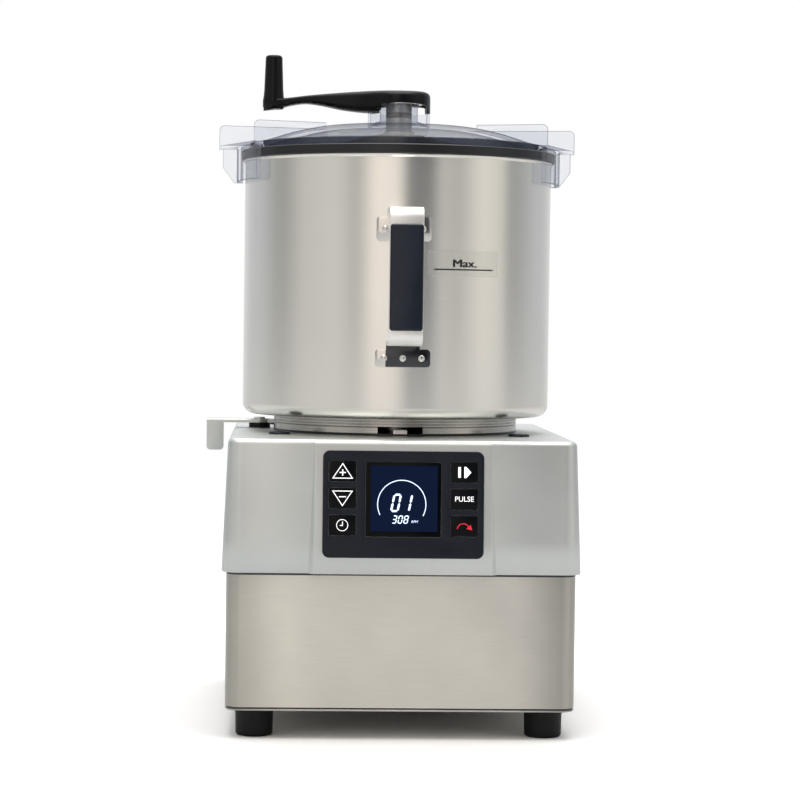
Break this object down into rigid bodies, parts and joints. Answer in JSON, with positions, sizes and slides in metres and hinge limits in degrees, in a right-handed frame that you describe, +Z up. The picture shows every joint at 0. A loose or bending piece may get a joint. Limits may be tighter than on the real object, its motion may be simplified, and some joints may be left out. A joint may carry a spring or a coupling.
{
  "type": "cutter emulsifier",
  "caption": "Tabletop food cutter with a steel base, control panel, lift-out bowl with front handle, clear lid and hand crank.",
  "frame": {"origin": "on the drive axis, on the surface that the feet stand on", "axes": "+Z up along the drive axis, -Y towards the control panel, +X to the right of a person facing it"},
  "size_m": [0.29, 0.3525, 0.5175],
  "materials": {
    "brushed_steel": "brushed stainless",
    "cover_steel": "satin stainless",
    "bowl_steel": "fine brushed stainless",
    "polished_steel": "polished stainless",
    "blade_steel": "ground blade steel",
    "black_rubber": "matt",
    "seal_rubber": "smooth",
    "black_plastic": "satin black",
    "fascia_plastic": "satin",
    "key_plastic": "satin",
    "screen_glass": "gloss",
    "lit_screen": "lit",
    "clear_plastic": "clear",
    "food_plastic": "white satin",
    "cast_aluminium": "cast",
    "motor_iron": "laminated",
    "circuit_board": "board"
  },
  "bodies": {
    "base": {"lower_body": "brushed_steel", "upper_cover": "cover_steel", "bottom_plate": "brushed_steel", "foot_front_left": "black_rubber", "foot_front_right": "black_rubber", "foot_back_left": "black_rubber", "foot_back_right": "black_rubber", "foot_screws": "polished_steel", "bowl_seat_ring": "brushed_steel", "locating_pin": "brushed_steel", "seat_bush": "cast_aluminium", "shaft_seal": "black_rubber", "plug_front_left": "black_plastic", "plug_front_right": "black_plastic", "plug_back_left": "black_plastic", "plug_back_right": "black_plastic", "lever_spacer": "black_plastic", "lever_screw": "polished_steel", "cable_gland": "black_plastic", "motor_plate": "cast_aluminium", "motor_housing": "cast_aluminium", "stator": "motor_iron", "end_shield": "cast_aluminium", "upper_bearing": "motor_iron", "lower_bearing": "motor_iron", "drive_board": "circuit_board", "control_board": "circuit_board", "display_module": "lit_screen", "display_window": "screen_glass", "panel_fascia": "fascia_plastic"},
    "rotor": {"rotor_core": "motor_iron", "motor_shaft": "polished_steel", "cooling_fan": "black_plastic"},
    "lever": {"lock_lever": "brushed_steel"},
    "key_up": {"key_up": "key_plastic"},
    "key_down": {"key_down": "key_plastic"},
    "key_timer": {"key_timer": "key_plastic"},
    "key_start": {"key_start": "key_plastic"},
    "key_pulse": {"key_pulse": "key_plastic"},
    "key_reverse": {"key_reverse": "key_plastic"},
    "bowl": {"bowl": "bowl_steel", "bowl_foot_ring": "bowl_steel", "handle_strap": "bowl_steel", "handle_grip": "black_plastic", "handle_plates": "polished_steel", "handle_rivets": "polished_steel"},
    "knives": {"knife_hub": "food_plastic", "lower_knife": "blade_steel", "knife_spacer": "food_plastic", "upper_knife": "blade_steel", "knife_cap": "food_plastic"},
    "lid_core": {"lid_bush": "polished_steel", "bush_ring": "black_rubber"},
    "lid": {"lid_cover": "clear_plastic", "lid_seal": "seal_rubber"},
    "crank": {"crank_arm": "black_plastic", "crank_guard": "clear_plastic", "crank_shaft": "polished_steel", "wiper_frame": "food_plastic", "wiper_blades": "seal_rubber"}
  },
  "joints": [
    {"name": "motor_spin", "type": "hinge", "parent": "base", "child": "rotor", "pos_m": [0, 0, 0.2], "axis": [0, 0, 1], "continuous": true},
    {"name": "lever_turn", "type": "hinge", "parent": "base", "child": "lever", "pos_m": [-0.107, 0.035, 0.2255], "axis": [0, 0, 1], "range_deg": [-40, 0]},
    {"name": "bowl_lift", "type": "slide", "parent": "base", "child": "bowl", "axis": [0, 0, 1], "range_m": [0, 0.13]},
    {"name": "knife_spin", "type": "hinge", "parent": "bowl", "child": "knives", "pos_m": [0, 0, 0.28], "axis": [0, 0, 1], "continuous": true},
    {"name": "lid_lift", "type": "slide", "parent": "bowl", "child": "lid_core", "axis": [0, 0, 1], "range_m": [0, 0.16]},
    {"name": "lid_turn", "type": "hinge", "parent": "lid_core", "child": "lid", "pos_m": [0, 0, 0.45], "axis": [0, 0, 1], "range_deg": [0, 30]},
    {"name": "crank_turn", "type": "hinge", "parent": "lid", "child": "crank", "pos_m": [0, 0, 0.47], "axis": [0, 0, 1], "continuous": true},
    {"name": "press_up", "type": "slide", "parent": "base", "child": "key_up", "axis": [0, 0.9959, -0.0903], "range_m": [0, 0.0008], "stiffness_N_per_m": 1200},
    {"name": "press_down", "type": "slide", "parent": "base", "child": "key_down", "axis": [0, 0.9959, -0.0903], "range_m": [0, 0.0008], "stiffness_N_per_m": 1200},
    {"name": "press_timer", "type": "slide", "parent": "base", "child": "key_timer", "axis": [0, 0.9959, -0.0903], "range_m": [0, 0.0008], "stiffness_N_per_m": 1200},
    {"name": "press_start", "type": "slide", "parent": "base", "child": "key_start", "axis": [0, 0.9959, -0.0903], "range_m": [0, 0.0008], "stiffness_N_per_m": 1200},
    {"name": "press_pulse", "type": "slide", "parent": "base", "child": "key_pulse", "axis": [0, 0.9959, -0.0903], "range_m": [0, 0.0008], "stiffness_N_per_m": 1200},
    {"name": "press_reverse", "type": "slide", "parent": "base", "child": "key_reverse", "axis": [0, 0.9959, -0.0903], "range_m": [0, 0.0008], "stiffness_N_per_m": 1200}
  ],
  "couplings": [
    {"joint": "knife_spin", "follows": "motor_spin", "ratio": 1}
  ]
}
